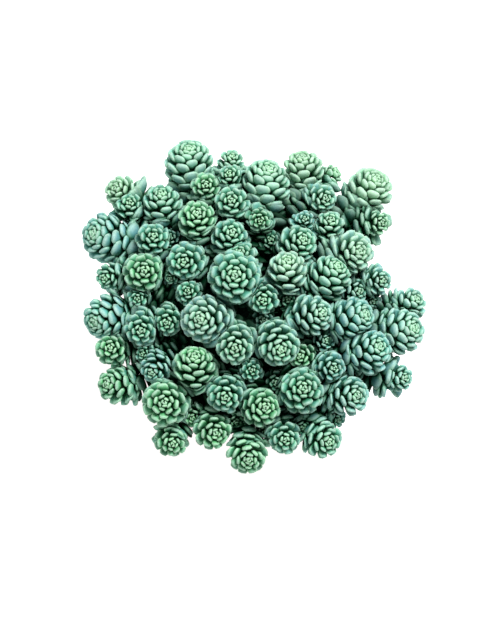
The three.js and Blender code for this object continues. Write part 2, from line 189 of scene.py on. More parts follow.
# Heads given more painted light than their place gives them, which paints them paler, and some given less,
# which paints them darker
PAINTED_LIGHT_HEADS = {
    2: 1.0, 15: 0.3, 21: 0.9, 23: 0.9, 31: 0.3, 34: 1.2, 39: -1.1, 42: 1.3, 44: 0.6, 45: -1.0,
    48: -0.6, 51: 0.9, 52: 0.6, 55: -1.0, 56: 0.4, 62: 0.4, 63: -0.9, 64: 0.3,
}

# A head's leaves from the bud down to the stem: latitude of the tip in degrees, reach of the tip from the
# head's centre and length of the leaf as shares of the head's radius, and the leaf's rise in degrees
LEAF_STAGES = [
    (88, 0.73, 0.30, 87),
    (70, 0.78, 0.47, 70),
    (50, 0.89, 0.70, 48),
    (22, 1.04, 0.90, 26),
    (-6, 1.09, 0.98, 12),
    (-30, 1.12, 0.98, 0),
    (-42, 1.13, 0.94, -6),
]

# How much further, in degrees, a leaf rises on the side of a leaning head that faces the light, how much
# wider it grows there, and how many more leaves a head has that lies on its side
LIT_RISE = 54
LIT_WIDTH = 0.38
LEAN_LEAVES = 0.46

# How much wider and thicker for its length a leaf is in the bud than at the foot of its head
BUD_WIDTH = 0.26
BUD_DEPTH = 0.75

# Leaves grow with their head up to the usual radius. Past it they grow by this power, and there are more
USUAL_RADIUS = 7
LEAF_GROWTH = 0.72

# Tone that the heads of each tint have, from 0, the bluest, to 1, and how much it differs by chance
TINT_TONE = {"leaf_green": 0.92, "leaf_mint": 0.5, "leaf_blue": 0.1}
TONE_CHANCE = 0.1

# What keeps the random draws of one seed's heads apart from the next seed's
SEED_STEP = 1000


def linear(*channels):
    """Linear colour from display channels of 0 to 255."""
    return tuple((c / 255) ** 2.2 for c in channels)


def colour_setting(name, channels, description):
    """A colour that the user can change, given by its display channels."""
    return FloatVectorProperty(
        name=name, default=linear(*channels), size=3, subtype="COLOR", min=0, max=1, description=description
    )


def share_setting(name, default, low, high, description):
    """A share of something that the user can change."""
    return FloatProperty(
        name=name, default=default, min=low, max=high, subtype="FACTOR", description=description
    )


class StonecropLeafSettings(PropertyGroup):
    """Shape and colours of the leaves."""

    base_count: FloatProperty(
        name="Leaves", default=14, min=6, max=40, description="Leaves of a head before its size adds more"
    )
    count_per_mm: FloatProperty(
        name="Leaves per mm", default=2.8, min=1, max=6,
        description="Leaves that each millimetre of radius adds",
    )
    width_share: share_setting("Width", 0.53, 0.2, 0.9, "Leaf width as a share of length")
    depth_share: share_setting("Plumpness", 0.54, 0.2, 1, "Leaf depth as a share of width")
    bend_share: share_setting("Bend", 0.07, 0, 0.3, "How far a leaf curves in to the bud")
    stem_spacing: FloatProperty(
        name="Stem spacing", default=0.45 * MM, min=0.3 * MM, max=20 * MM, unit="LENGTH",
        description="Way along a stem from one leaf to the next, below the head",
    )
    green: colour_setting("Green", (128, 204, 136), "Mature leaf of the greenest heads")
    mint: colour_setting("Mint", (118, 198, 158), "Mature leaf of most heads")
    blue: colour_setting("Blue", (108, 188, 176), "Mature leaf of the bluest heads")
    young: colour_setting("Young", (156, 214, 142), "Leaf in the bud")
    old: colour_setting("Old", (84, 150, 138), "Lowest leaves")
    # Painted sunlight: the pale colour that leaves are painted with on the plant's lit side
    painted_sunlight: colour_setting("Sunned", (194, 230, 192), "What the leaf pales to on the plant's sunny side")
    # Foot: partly the leaf's own bloomless foot, and partly painted shade deep in the plant and in creases
    deep: colour_setting("Foot", (8, 50, 30), "Foot of a leaf, where no bloom forms, and deep shade")
    # Painted shade: the deeper green that shaded leaves and the places between them are multiplied with
    shade_green: colour_setting("Filter", (120, 202, 164), "Deeper green that light takes on between leaves")
    # Powder: partly the leaf's own blue bloom, and partly a painted reflection of the sky on its face
    powder: colour_setting("Powder", (132, 188, 206), "Blue powder on the middle of a leaf's face")
    # Bloom: partly the leaf's own powder, and partly a painted highlight on its edges and tip
    bloom_and_highlight: colour_setting("Bloom", (208, 238, 222), "Powdery bloom on edges and tips")


class StonecropPotSettings(PropertyGroup):
    """Finish of the pot and the soil."""

    clay: colour_setting("Clay", (186, 104, 68), "Fired clay")
    clay_dark: colour_setting("Dark clay", (150, 78, 50), "Clay where the kiln left it darker")
    lime: colour_setting("Lime", (214, 190, 170), "Pale mineral film that watering leaves")
    # Algae: partly a damp film, and partly painted shade on the rim under the leaves
    algae_and_shade: colour_setting("Algae", (36, 50, 30), "Dark green film on the damp edge under the leaves")
    earth: colour_setting("Soil", (52, 39, 30), "Moist potting soil")
    sides: IntProperty(name="Sides", default=96, min=24, max=256, description="Segments round the pot")
    edge_round: FloatProperty(
        name="Edge radius", default=1.2 * MM, min=0.2 * MM, max=3 * MM, unit="LENGTH",
        description="Rounding of the pot's edges",
    )
    grit: IntProperty(name="Grit", default=260, min=0, max=1000, description="Grains of grit on the soil")


class StonecropStageSettings(PropertyGroup):
    """Floor, lights and camera."""

    distance: FloatProperty(
        name="Camera distance", default=1.7333, min=0.2, unit="LENGTH",
        description="From the lens to the heads",
    )
    lens: FloatProperty(name="Lens", default=250, min=20, max=500, unit="CAMERA", description="Focal length")
    key_power: FloatProperty(
        name="Key light", default=44, min=0, unit="POWER", description="Power of the key light"
    )
    fill_power: FloatProperty(
        name="Fill light", default=6, min=0, unit="POWER", description="Power of the fill light"
    )
    sky: FloatProperty(name="Sky", default=0.2, min=0, description="Strength of the light from all round")
    floor: FloatVectorProperty(
        name="Floor", default=(0.86, 0.86, 0.86), size=3, subtype="COLOR", min=0, max=1,
        description="Pale floor",
    )


# Directions of the eye that the heads are placed by
EYE_UP = Vector((0, math.cos(EYE_TILT), math.sin(EYE_TILT)))
EYE_TOWARD = Vector((0, -math.sin(EYE_TILT), math.cos(EYE_TILT)))
RIGHT = Vector((1, 0, 0))
UPRIGHT = Vector((0, 0, 1))
SPIN_START = Vector((0, 1, 0.2))


def clamped(value):
    """A value kept between 0 and 1."""
    return min(max(value, 0), 1)


def swung(first, second, angle):
    """Direction at an angle from the first of two that are square to each other, towards the second."""
    return first * math.cos(angle) + second * math.sin(angle)


def off_axis(point):
    """How far a point lies from the pot's axis."""
    return math.hypot(point.x, point.y)


def dome_height(outward):
    """Height of the dome at a share of its radius."""
    return DOME_TOP - DOME_DROP * outward * outward


def square_to(axis, near):
    """Two directions square to an axis, the first as near to a given one as it can be."""
    first = (near - axis * near.dot(axis)).normalized()
    return first, axis.cross(first)


# Painted light on the plant's lit side: the way to that side, and how much more painted light each head gets
# further out
PAINTED_LIGHT_WAY = Vector((0.5, 0.55))
PAINTED_LIGHT_OUTWARD = 0.45


class Head:
    """One rosette of leaves: where it sits, how it leans and the room that its neighbours leave it."""

    def __init__(self, number, right, up, radius, lean, heading, lift, tint):
        self.number = number
        self.radius = radius
        self.tint = tint
        self.aside = math.sin(math.radians(lean))
        tilt = swung(RIGHT, EYE_UP, math.radians(heading))
        self.axis = swung(EYE_TOWARD, tilt, math.radians(lean)).normalized()
        self.centre = head_centre(right, up, lift) + self.axis * CENTRE_SHIFT * radius
        self.first, self.second = square_to(self.axis, SPIN_START)
        self.spin = GOLDEN_TURN * number
        self.leaf_size = min(radius, USUAL_RADIUS * (radius / USUAL_RADIUS) ** LEAF_GROWTH)
        self.planes = []
        self.stem_planes = []
        # Painted light of the head's colour: more on the plant's lit side and further out, plus its listed
        # share
        painted_light = (self.centre.x * PAINTED_LIGHT_WAY.x + self.centre.y * PAINTED_LIGHT_WAY.y + self.outward() * PAINTED_LIGHT_OUTWARD) / DOME_RADIUS
        self.painted_light = clamped(painted_light) + PAINTED_LIGHT_HEADS.get(number, 0)
        self.curve = None

    def outward(self):
        """How far out from the pot's axis the head sits."""
        return off_axis(self.centre)

    def stem_top(self):
        """Where the stem meets the head."""
        return self.centre - self.axis * CORE * self.radius * HEAD_STRETCH

    def stem_foot(self):
        """Where the stem enters the soil."""
        share = min(FOOT_SHARE, FOOT_LIMIT / self.outward())
        return Vector((self.centre.x * share, self.centre.y * share, SOIL_TOP))


# How often a head's height and its place under the eye are fitted to each other
PLACE_ROUNDS = 4


def head_centre(right, up, lift):
    """Centre of a head: on the dome, where the eye sees it."""
    centre = Vector((right, up, DOME_TOP))
    for _ in range(PLACE_ROUNDS):
        centre.z = dome_height(off_axis(centre) / DOME_RADIUS) + lift
        centre.y = (up - (centre.z - EYE_HEIGHT) * EYE_UP.z) / EYE_UP.y
    return centre


def share_room(first, second):
    """Neighbouring heads each keep to their own side of a plane across the line that joins them.

    Below the heads the plane slants, so that the first one's stem leaves reach in under the second.
    """
    across = second.centre - first.centre
    distance = across.length
    if distance > (first.radius + second.radius) * HEAD_STRETCH:
        return
    normal = across / distance
    offset = (first.radius ** 2 - second.radius ** 2) / (2 * distance)
    slanted = (normal + UPRIGHT * UNDER_SLOPE).normalized()
    for head, way, side in ((first, 1, offset), (second, -1, -offset)):
        room = distance / 2 + side - HEAD_GAP / 2
        head.planes.append((normal * way, room))
        head.stem_planes.append((slanted * way, room * normal.dot(slanted) + UNDER_REACH))


heads = {row[0]: Head(*row) for row in HEADS}
for number, head in heads.items():
    for other in range(number + 1, len(heads) + 1):
        share_room(head, heads[other])


class Bezier:
    """A stem's middle line, from its head down, by its control points."""

    def __init__(self, *controls):
        self.controls = controls

    def at(self, t):
        """Point at a share of the way, and the direction that the stem grows in there."""
        points = list(self.controls)
        while len(points) > 2:
            points = [a.lerp(b, t) for a, b in zip(points, points[1:])]
        return points[0].lerp(points[1], t), (points[0] - points[1]).normalized()


def stem_curve(head):
    """A stem leaves its head against the growing direction and enters the soil upright."""
    top = head.stem_top()
    foot = head.stem_foot()
    below = top - head.axis * STEM_START * (foot - top).length
    above = foot + UPRIGHT * (STEM_ARCH + ARCH_OUTWARD * head.outward())
    return Bezier(top, below, above, foot)


def fork_curve(head, parent):
    """An offshoot's stem ends inside its parent's."""
    top = head.stem_top()
    end = parent.stem_top().lerp(stem_curve(parent).at(FORK_REACH)[0], FORK_ALONG)
    below = top - head.axis * STEM_START * (end - top).length
    return Bezier(top, below, end)


for number, head in heads.items():
    head.curve = fork_curve(head, heads[FORKS[number]]) if number in FORKS else stem_curve(head)


# How softly leaves draw in as they come near a neighbour's room, where higher is later and harder, and the
# least room that they are given
PRESS_POWER = 8
LEAST_ROOM = 1.5


def pressed(head, anchor, point):
    """A leaf's point, drawn in to its anchor where neighbours crowd it, and how much they do."""
    arm = point - anchor
    crowding = 0
    for normal, room in head.planes if anchor is head.centre else head.stem_planes:
        left = room - (anchor - head.centre).dot(normal)
        part = arm.dot(normal) / max(left, LEAST_ROOM)
        if part > 0 and left > 0:
            crowding += part ** PRESS_POWER
    return anchor + arm * (1 + crowding) ** (-1 / PRESS_POWER), clamped(crowding)


# The firm part of a head, which a neighbour's stem leaf stops at, as a share of its radius, and how many
# places stand for a stem
HEAD_FIRM = 0.66
NEIGHBOUR_STEPS = 14


class Neighbours:
    """Tells how far a stem leaf may reach before it meets another shoot."""

    def __init__(self):
        self.tree = KDTree(len(heads) * (NEIGHBOUR_STEPS + 1))
        self.owners = []
        for head in heads.values():
            self.insert(head.centre, head, head.radius * HEAD_FIRM)
            for i in range(NEIGHBOUR_STEPS):
                self.insert(head.curve.at((i + 0.5) / NEIGHBOUR_STEPS)[0], head, 0)
        self.tree.balance()

    def insert(self, point, head, firm):
        """Adds one place of a shoot, with the radius that is firm round it."""
        self.tree.insert(point, len(self.owners))
        self.owners.append((main_number(head), firm))

    def free_reach(self, place, along, head, furthest):
        """How long a leaf can be that grows from a place along a direction."""
        reach = furthest
        for point, index, distance in self.tree.find_range(place, furthest * 2):
            owner, firm = self.owners[index]
            toward = (point - place).dot(along)
            if owner == main_number(head) or toward <= 0:
                continue
            aside = distance * distance - toward * toward
            if not firm:
                reach = min(reach, distance * distance / toward)
            elif aside < firm * firm:
                reach = min(reach, toward - math.sqrt(firm * firm - aside))
        return reach


def main_number(head):
    """Number of the shoot that a head grows on."""
    return FORKS.get(head.number, head.number)


# Shade under the heads: how far down it starts, how much further at the plant's edge, and how deep it is
SHADE_START = 0.5
SHADE_EDGE = 7
SHADE_DEPTH = 7.5

# Shade on a head's own stem: how far behind the head it starts and is full, as shares of the head's radius,
# and the most that it adds in the plant's middle and at its edge
SHADE_BEHIND = (0.8, 1.5)
SHADE_MOST = (0.95, 0.45)

# Shade where heads crowd each other: the most, and from how far above to how far below a head's centre it
# deepens, as shares of the head's radius
CROWD_SHADE = 0.5
CROWD_ABOVE = 0.3
CROWD_BELOW = 0.5


def under_dome(point):
    """How deep in the plant's shade a point is, from 0 at the heads to 1."""
    outward = off_axis(point) / DOME_RADIUS
    depth = dome_height(outward) - point.z
    return clamped((depth - SHADE_START - SHADE_EDGE * outward ** 3) / SHADE_DEPTH)


def on_own_stem(head, place):
    """Shade of a head on its own stem, for a leaf that grows from a place there."""
    start, full = SHADE_BEHIND
    middle, edge = SHADE_MOST
    behind = ((place - head.centre).length / head.radius - start) / (full - start)
    return clamped(behind) * (middle + (edge - middle) * min(head.outward() / DOME_RADIUS, 1))


def between_heads(head, point, crowding):
    """Shade of the neighbours that crowd a head, deeper towards its foot."""
    sunk = (head.centre - point).dot(head.axis) / head.radius + CROWD_ABOVE
    return CROWD_SHADE * crowding * clamped(sunk / (CROWD_ABOVE + CROWD_BELOW))


def staged(latitude):
    """Reach, length and rise of a leaf whose tip lies at a latitude."""
    for upper, lower in zip(LEAF_STAGES, LEAF_STAGES[1:]):
        if latitude >= lower[0]:
            share = (upper[0] - latitude) / (upper[0] - lower[0])
            return [a + (b - a) * share for a, b in zip(upper[1:], lower[1:])]
    return LEAF_STAGES[-1][1:]


# Outline and depth of a leaf along its length, as powers of the way from the foot and from the tip, the
# power that squares its cross section, and the depth of its face and its back
OUTLINE_FOOT = 0.52
OUTLINE_TIP = 0.23
DEPTH_FOOT = 0.55
DEPTH_TIP = 0.4
CROSS_POWER = 0.74
FACE_DEPTH = 0.82
BACK_DEPTH = 1.0

# The ball that a leaf is drawn out of: its sides and rows, how near the axis its ends lie, and how near
# to the leaf's edge they count as
LEAF_SIDES = 8
LEAF_ROWS = 7
POLE_RING = 1e-4
POLE_EDGE = 0.6


def leaf_ball():
    """The ball that every leaf is drawn out of."""
    bm = bmesh.new()
    bmesh.ops.create_uvsphere(bm, u_segments=LEAF_SIDES, v_segments=LEAF_ROWS, radius=1)
    for face in bm.faces:
        face.smooth = True
    mesh = bpy.data.meshes.new("leaf_ball")
    bm.to_mesh(mesh)
    bm.free()
    return mesh


def swell(t, foot, tip):
    """A swelling from 0 at the foot through 1 at its fullest to 0 at the tip."""
    fullest = foot / (foot + tip)
    return (t ** foot) * ((1 - t) ** tip) / ((fullest ** foot) * ((1 - fullest) ** tip))


# What each point of a leaf tells its material
LAYER_NAMES = (
    "leaf_age", "leaf_along", "leaf_edge", "leaf_face", "leaf_chance", "head_tone", "head_painted_light", "leaf_shade",
)


def add_leaf(shoot, head, anchor, base, along, inward, size, marks):
    """One plump leaf: a ball drawn out to the leaf's outline, bent in to the bud and kept in its own room.

    Crowding draws it in to the anchor. Its size is its length and how much wider and deeper it is than
    usual, and its marks are its age, its chance and its tone.
    """
    length, width_scale, depth_scale = size
    age, chance, tone = marks
    across = inward.cross(along)
    half_width = length * shoot.settings.width_share * width_scale / 2
    half_depth = length * shoot.settings.width_share * shoot.settings.depth_share * depth_scale / 2
    bend = shoot.settings.bend_share * length
    own_shade = on_own_stem(head, anchor)
    first_vert = len(shoot.bm.verts)
    shoot.bm.from_mesh(shoot.ball)
    shoot.bm.verts.ensure_lookup_table()
    for vert in shoot.bm.verts[first_vert:]:
        x, y, z = vert.co
        t = clamped((z + 1) / 2)
        ring = math.hypot(x, y)
        edge = POLE_EDGE
        if ring > POLE_RING:
            x = math.copysign((abs(x) / ring) ** CROSS_POWER, x)
            y = math.copysign((abs(y) / ring) ** CROSS_POWER, y)
            edge = abs(x)
        wide = half_width * swell(t, OUTLINE_FOOT, OUTLINE_TIP)
        deep = half_depth * swell(t, DEPTH_FOOT, DEPTH_TIP) * (FACE_DEPTH if y > 0 else BACK_DEPTH)
        sag = bend * 4 * t * (1 - t)
        point = base + along * length * t + across * wide * x + inward * (deep * y - sag)
        vert.co, crowding = pressed(head, anchor, point)
        shade = clamped(under_dome(vert.co) + own_shade + between_heads(head, vert.co, crowding))
        face = 0.5 + 0.5 * y
        for layer, value in zip(shoot.layers, (age, t, edge, face, chance, tone, head.painted_light, shade)):
            vert[layer] = value


# How much the leaves of a head differ by chance: turn round the axis and twist in radians, rise in
# degrees, and the ranges of their length, reach and width
TURN_CHANCE = 0.07
TWIST_CHANCE = 0.12
RISE_CHANCE = 4
LENGTH_CHANCE = (0.95, 1.06)
REACH_CHANCE = (0.96, 1.03)
WIDTH_CHANCE = (0.94, 1.08)


def add_head(shoot, head, tone, rng):
    """All leaves of one head, by the golden turn from the bud outwards."""
    count = shoot.settings.base_count + shoot.settings.count_per_mm * head.radius
    count = round(count * (1 + LEAN_LEAVES * head.aside) * (head.radius / head.leaf_size) ** 2)
    top, bottom = LEAF_STAGES[0][0], LEAF_STAGES[-1][0]
    for k in range(count):
        age = k / (count - 1)
        degrees = top + (bottom - top) * age
        reach, length, rise = staged(degrees)
        latitude = math.radians(degrees)
        turn = head.spin + GOLDEN_TURN * k + rng.uniform(-TURN_CHANCE, TURN_CHANCE)
        radial = swung(head.first, head.second, turn)
        lit = max(radial.dot(EYE_TOWARD), 0)
        rise = rise + LIT_RISE * lit * math.cos(latitude) + rng.uniform(-RISE_CHANCE, RISE_CHANCE) * age
        rise = math.radians(rise)
        tip = radial * math.cos(latitude) + head.axis * math.sin(latitude) * HEAD_STRETCH
        along = swung(radial, head.axis, rise)
        inward = swung(head.axis, -radial, rise)
        inward.rotate(Matrix.Rotation(rng.uniform(-TWIST_CHANCE, TWIST_CHANCE), 3, along))
        length *= head.leaf_size * rng.uniform(*LENGTH_CHANCE)
        base = head.centre + tip * reach * head.radius * rng.uniform(*REACH_CHANCE) - along * length
        wide = rng.uniform(*WIDTH_CHANCE) * (1 + LIT_WIDTH * lit) * (1 + BUD_WIDTH * (1 - age))
        size = (length, wide, 1 + BUD_DEPTH * (1 - age) ** 2)
        add_leaf(shoot, head, head.centre, base, along, inward, size, (age, rng.random(), tone))
    return count


# Leaves along the stem below a head: where they start as a share of the head's radius, where they end as
# a share of the stem's way, and at both ends their length as shares of the head's radius and their rise
# in degrees
STEM_LEAF_FIRST = 0.35
STEM_LEAF_LAST = 0.93
STEM_LEAF_LENGTH = (1.0, 0.9)
STEM_LEAF_RISE = (18, -26)

# The shortest and the longest of them, the least that they grow to where there is room, with what is
# added at the plant's edge, how much longer they are towards its middle, and how wide
STEM_LEAF_LIMITS = (3.2, 12)
SMALL_STEM_LEAF = (5, 5)
INWARD_LONGER = 0.3
STEM_LEAF_WIDTH = 1.2

# The age of the lowest, where a head's own leaves reach 1, and how much rise and length differ by chance
OLDEST = 1.3
STEM_RISE_CHANCE = 10
STEM_LENGTH_CHANCE = (0.88, 1.08)

# Leaves keep this far off the soil and the rim, tested at these shares of their length. One that would
# touch is lifted by this turn, this often at most
POT_CLEAR = 1.3
CLEAR_SHARES = (0.4, 0.7, 1)
LIFT_TRIES = 3
LIFT_TURN = math.radians(18)


def clear_of_pot(foot, reach):
    """Whether a leaf keeps off the soil and the rim along its whole length."""
    for part in CLEAR_SHARES:
        point = foot + reach * part
        outward = off_axis(point)
        inside = outward < RIM_RADIUS - WALL - POT_CLEAR
        low = point.z < (SOIL_TOP if inside else POT_HEIGHT) + POT_CLEAR
        if low and outward < RIM_RADIUS + POT_CLEAR:
            return False
    return True


def add_stem_leaves(shoot, head, first_turn, tone, rng):
    """Older leaves down the stem, as long as the neighbours leave room for."""
    curve = head.curve
    way = (curve.at(1)[0] - curve.at(0)[0]).length
    first = STEM_LEAF_FIRST * head.radius / way
    count = int((STEM_LEAF_LAST - first) * way * MM / shoot.settings.stem_spacing)
    least, edge_more = SMALL_STEM_LEAF
    smallest = least + edge_more * (head.outward() / DOME_RADIUS) ** 2
    shortest, longest = STEM_LEAF_LIMITS
    first_length, last_length = STEM_LEAF_LENGTH
    first_rise, last_rise = STEM_LEAF_RISE
    for k in range(count):
        share = k / count
        place, upward = curve.at(first + (STEM_LEAF_LAST - first) * share)
        near, other = square_to(upward, head.first)
        turn = head.spin + GOLDEN_TURN * (first_turn + k)
        radial = swung(near, other, turn)
        rise = first_rise + (last_rise - first_rise) * share
        rise = math.radians(rise + rng.uniform(-STEM_RISE_CHANCE, STEM_RISE_CHANCE))
        along = swung(radial, upward, rise)
        inward = swung(upward, -radial, rise)
        scale = first_length + (last_length - first_length) * share
        room = shoot.neighbours.free_reach(place, along, head, longest)
        outwards = (along.x * head.centre.x + along.y * head.centre.y) / head.outward()
        scale *= 1 + INWARD_LONGER * (1 - max(outwards, 0))
        length = min(max(scale * head.radius, smallest), room) * rng.uniform(*STEM_LENGTH_CHANCE)
        age = 1 + share * (OLDEST - 1)
        marks = (age, rng.random(), tone)
        for _ in range(LIFT_TRIES):
            if clear_of_pot(place, along * length):
                break
            turned = Matrix.Rotation(LIFT_TURN, 3, along.cross(UPRIGHT))
            along.rotate(turned)
            inward.rotate(turned)
        if length > shortest and clear_of_pot(place, along * length):
            add_leaf(shoot, head, place, place, along, inward, (length, STEM_LEAF_WIDTH, 1), marks)


# Stem: rings from inside the head down to below the soil, swollen a little where leaves were. Its two
# rings in the head are given by their height over the head's centre and their radius, as shares of the
# head's radius
STEM_SIDES = 10
STEM_RINGS = 26
NODE_SWELL = 0.07
NECK_SWELL = 0.4
INNER_RINGS = ((0.45, 0.07), (0, 0.15))
STEM_MATERIAL = 1


def stem_places(head):
    """Middle, growing direction and radius of each ring of a stem."""
    places = [
        (head.centre + head.axis * height * head.radius, head.axis, share * head.radius)
        for height, share in INNER_RINGS
    ]
    for i in range(STEM_RINGS + 1):
        t = i / STEM_RINGS
        point, upward = head.curve.at(t)
        swollen = 1 + NODE_SWELL * (i % 2)
        neck = NECK_SWELL * (1 - t) ** 3
        places.append((point, upward, (STEM_RADIUS + neck) * swollen))
    if head.number not in FORKS:
        point, upward, radius = places[-1]
        places.append((point - UPRIGHT * STEM_BURIED, UPRIGHT, radius))
    return places


def ring_matrix(place, first):
    """Frame of a stem's ring: its own X and Y across the stem, Z along it."""
    point, upward, radius = place
    across, other = square_to(upward, first)
    turned = Matrix((across * radius, other * radius, upward)).transposed()
    return Matrix.Translation(point) @ turned.to_4x4(), across


def add_stem(bm, places):
    """A stem drawn ring by ring from its top to its foot."""
    matrix, near = ring_matrix(places[0], SPIN_START)
    ring = bmesh.ops.create_circle(bm, cap_ends=True, segments=STEM_SIDES, radius=1, matrix=matrix)["verts"]
    all_verts = list(ring)
    edges = list(ring[0].link_faces[0].edges)
    for place in places[1:]:
        following, near = ring_matrix(place, near)
        grown = bmesh.ops.extrude_edge_only(bm, edges=edges)["geom"]
        verts = [item for item in grown if isinstance(item, bmesh.types.BMVert)]
        edges = [item for item in grown if isinstance(item, bmesh.types.BMEdge) and item.is_boundary]
        bmesh.ops.transform(bm, matrix=following @ matrix.inverted(), verts=verts)
        matrix = following
        all_verts += verts
    bmesh.ops.holes_fill(bm, edges=edges, sides=STEM_SIDES)
    made = {face for vert in all_verts for face in vert.link_faces}
    bmesh.ops.recalc_face_normals(bm, faces=list(made))
    for face in made:
        face.smooth = True
        face.material_index = STEM_MATERIAL


def finish_mesh(bm, name, materials):
    """Scales a mesh from millimetres to metres and makes the object of it."""
    bmesh.ops.transform(bm, matrix=Matrix.Scale(MM, 4), verts=bm.verts)
    mesh = bpy.data.meshes.new(name)
    bm.to_mesh(mesh)
    bm.free()
    for material in materials:
        mesh.materials.append(material)
    piece = bpy.data.objects.new(name, mesh)
    bpy.context.scene.collection.objects.link(piece)
    return piece


class Nodes:
    """Builds one material's nodes, with each input by name."""

    def __init__(self, name):
        self.material = bpy.data.materials.new(name)
        self.material.use_nodes = True
        self.tree = self.material.node_tree
        self.tree.nodes.clear()
        self.output = self.tree.nodes.new("ShaderNodeOutputMaterial")

    def put(self, socket, value):
        """Gives an input a value, or links another node's output to it."""
        if isinstance(value, bpy.types.NodeSocket):
            self.tree.links.new(value, socket)
        elif socket.type == "RGBA" and len(value) == 3:
            socket.default_value = (*value, 1)
        else:
            socket.default_value = value

    def add(self, kind, settings=None, **inputs):
        """A node of a kind, with its settings and its inputs."""
        node = self.tree.nodes.new("ShaderNode" + kind)
        for key, value in (settings or {}).items():
            setattr(node, key, value)
        for key, value in inputs.items():
            self.put(node.inputs[key.replace("_", " ")], value)
        return node

    def attribute(self, name):
        """A value that the mesh holds for each of its points."""
        return self.add("Attribute", {"attribute_name": name}).outputs["Fac"]

    def math(self, operation, first, second=0.0, clamp=False):
        """The result of one operation on two values."""
        node = self.add("Math", {"operation": operation, "use_clamp": clamp})
        self.put(node.inputs[0], first)
        self.put(node.inputs[1], second)
        return node.outputs[0]

    def times(self, first, second, clamp=False):
        """The product of two values."""
        return self.math("MULTIPLY", first, second, clamp)

    def span(self, value, low, high, to_low=0.0, to_high=1.0):
        """Smooth step of a value from one span to another."""
        return self.add(
            "MapRange", {"interpolation_type": "SMOOTHSTEP"},
            Value=value, From_Min=low, From_Max=high, To_Min=to_low, To_Max=to_high,
        ).outputs["Result"]

    def mix(self, share, first, second, blend="MIX"):
        """A share of the way from one colour to another, which are the node's sockets 6 and 7."""
        node = self.add("Mix", {"data_type": "RGBA", "blend_type": blend})
        for index, value in zip((0, 6, 7), (share, first, second)):
            self.put(node.inputs[index], value)
        return node.outputs[2]

    def noise(self, scale, detail=3.0, roughness=0.55, stretch=(1, 1, 1)):
        """A cloudy pattern in the piece's own space, with about so many clouds a metre."""
        place = self.add("TexCoord").outputs["Object"]
        if stretch != (1, 1, 1):
            place = self.add("Mapping", Vector=place, Scale=stretch).outputs["Vector"]
        return self.add(
            "TexNoise", Vector=place, Scale=scale, Detail=detail, Roughness=roughness
        ).outputs["Fac"]

    def bump(self, height, strength, distance):
        """The relief that a pattern gives a surface."""
        return self.add("Bump", Height=height, Strength=strength, Distance=distance).outputs["Normal"]

    def finish(self, **inputs):
        """The material, once its shader has its inputs."""
        shader = self.add("BsdfPrincipled", **inputs)
        self.tree.links.new(shader.outputs[0], self.output.inputs["Surface"])
        return self.material


# Painted shade in the creases between leaves: how far it reaches, and in how many directions each point looks
# for what covers it
CREASE_SHADE_REACH = 3.2 * MM
CREASE_SHADE_SAMPLES = 6


def flesh_colour(make, settings, age, chance, painted_light, mottle):
    """Colour of the flesh: tone and painted light of the head, youth and age of the leaf, and its own chance.
    """
    tone = make.attribute("head_tone")
    cooler = make.mix(make.span(tone, 0.05, 0.5), settings.blue, settings.mint)
    greener = make.mix(make.span(tone, 0.5, 0.95), cooler, settings.green)
    # Painted light: heads on the plant's lit side are painted paler, and heads given less are painted darker
    mature = make.mix(make.span(painted_light, 0.2, 1.5, 0, 0.62), greener, settings.painted_sunlight)
    mature = make.mix(make.span(painted_light, 0, -1, 0, 0.34), mature, settings.shade_green, "MULTIPLY")
    fresh = make.mix(make.span(age, 0.03, 0.3, 0.66, 0), mature, settings.young)
    ageing = make.times(make.span(age, 0.35, 1.1), make.span(chance, 0, 1, 0.25, 0.85))
    aged = make.mix(ageing, fresh, settings.old)
    shade = make.math("ADD", make.times(mottle, 0.5), make.times(chance, 0.24))
    return make.mix(0.5, aged, make.mix(make.span(shade, 0.2, 0.6), settings.deep, aged))


def foot_and_shade_colour(make, settings, flesh, along, mottle):
    """Flesh that darkens to the foot of the leaf, less far up on its back: partly its own bloomless foot,
    partly painted shade.
    """
    back = make.span(make.attribute("leaf_face"), 0.8, 0.2, 0, 0.4)
    height = make.math("ADD", make.math("ADD", along, back), make.times(mottle, 0.12))
    # Painted shade: green multiplied in towards the foot, then the foot colour where inner leaves cover it
    shade_green = make.mix(1.0, flesh, settings.shade_green, "MULTIPLY")
    foot_and_shade = make.mix(make.span(height, 0.34, 0.84), shade_green, flesh)
    return make.mix(make.span(height, 0.14, 0.48), settings.deep, foot_and_shade)


def powder_and_highlight_colour(make, settings, foot_and_shade, along, age, powder):
    """Blue powder on the middle of the face, partly a painted sky reflection, and pale bloom on the edge and
    the tip, partly a painted highlight.
    """
    edge = make.attribute("leaf_edge")
    tone = make.attribute("head_tone")
    rim = make.times(make.math("POWER", edge, 3), make.span(along, 0.35, 0.85))
    face = make.times(make.span(edge, 0.95, 0.3), make.span(along, 0.3, 0.7))
    face = make.times(face, make.span(age, 0.15, 0.7, 0.1, 0.56))
    face = make.times(face, make.span(tone, 1, 0.1, 0.4, 1))
    # Painted sky reflection on the face, partly the leaf's own blue powder
    blue_powder_and_sky_reflection = make.mix(face, foot_and_shade, settings.powder)
    tip = make.times(make.span(along, 0.76, 1.0), 0.7)
    edge_and_tip = make.math("MAXIMUM", rim, tip)
    bloom_and_highlight_share = make.times(edge_and_tip, make.span(powder, 0.3, 0.7, 0.4, 0.9), clamp=True)
    # Painted highlight on the edge and the tip, partly the leaf's own bloom
    return make.mix(bloom_and_highlight_share, blue_powder_and_sky_reflection, settings.bloom_and_highlight)


